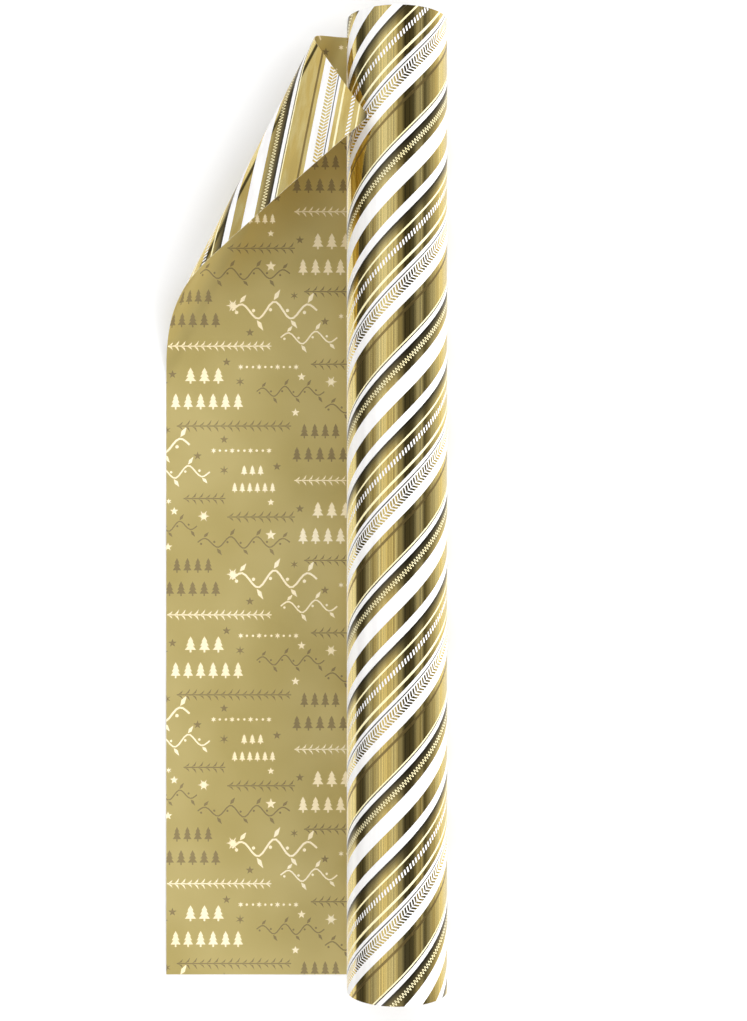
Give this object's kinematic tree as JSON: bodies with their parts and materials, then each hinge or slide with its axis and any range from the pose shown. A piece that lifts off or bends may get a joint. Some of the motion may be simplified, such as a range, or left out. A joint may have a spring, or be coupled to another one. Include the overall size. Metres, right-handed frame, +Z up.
{
  "type": "gift wrap roll",
  "caption": "Jumbo roll of reversible foil gift wrap on a cardboard core, with a loose sheet drawn out and its corner curled back.",
  "frame": {"origin": "on the table, under the middle of the outline of the roll and its loose sheet", "axes": "+Y along the roll's axis, towards the end where the corner curls; +X from the loose sheet towards the roll; +Z up"},
  "size_m": [0.2266, 0.762, 0.0811],
  "materials": {
    "foil_wrap": "bright metallised gold face with white, cream and charcoal diagonal stripes",
    "matt_wrap": "matt gold reverse face with a cream and taupe scatter of winter motifs",
    "core_board": "bare spiral-wound grey-brown board",
    "tape": "translucent double-sided tape"
  },
  "bodies": {
    "sheet": {"free_sheet": "matt_wrap", "curl_root": "matt_wrap"},
    "takeoff": {"takeoff_strip": "matt_wrap"},
    "roll": {"core_inner_ply": "core_board", "core_middle_ply": "core_board", "core_outer_ply": "core_board", "starter_tape": "tape", "wound_paper": "foil_wrap"},
    "curl": {"corner_curl": "foil_wrap"},
    "corner": {"corner_flap": "foil_wrap"}
  },
  "joints": [
    {"name": "roll_travel", "type": "slide", "parent": "sheet", "child": "takeoff", "axis": [1, 0, 0], "range_m": [0, 0.248]},
    {"name": "roll_spin", "type": "hinge", "parent": "takeoff", "child": "roll", "pos_m": [0.07375, 0, 0.0395], "axis": [0, 1, 0], "range_deg": [0, 360]},
    {"name": "curl_open", "type": "hinge", "parent": "sheet", "child": "curl", "pos_m": [-0.04517, 0.25151, 0.00432], "axis": [0.4619, 0.8869, 0], "range_deg": [-70, 0], "stiffness_Nm_per_rad": 0.05},
    {"name": "corner_open", "type": "hinge", "parent": "curl", "child": "corner", "pos_m": [-0.04328, 0.27233, 0.02876], "axis": [0.4619, 0.8869, 0], "range_deg": [-70, 0], "stiffness_Nm_per_rad": 0.05}
  ],
  "couplings": [
    {"joint": "roll_spin", "follows": "roll_travel", "rad_per_m": 25.316},
    {"joint": "curl_open", "follows": "corner_open", "ratio": 1}
  ]
}
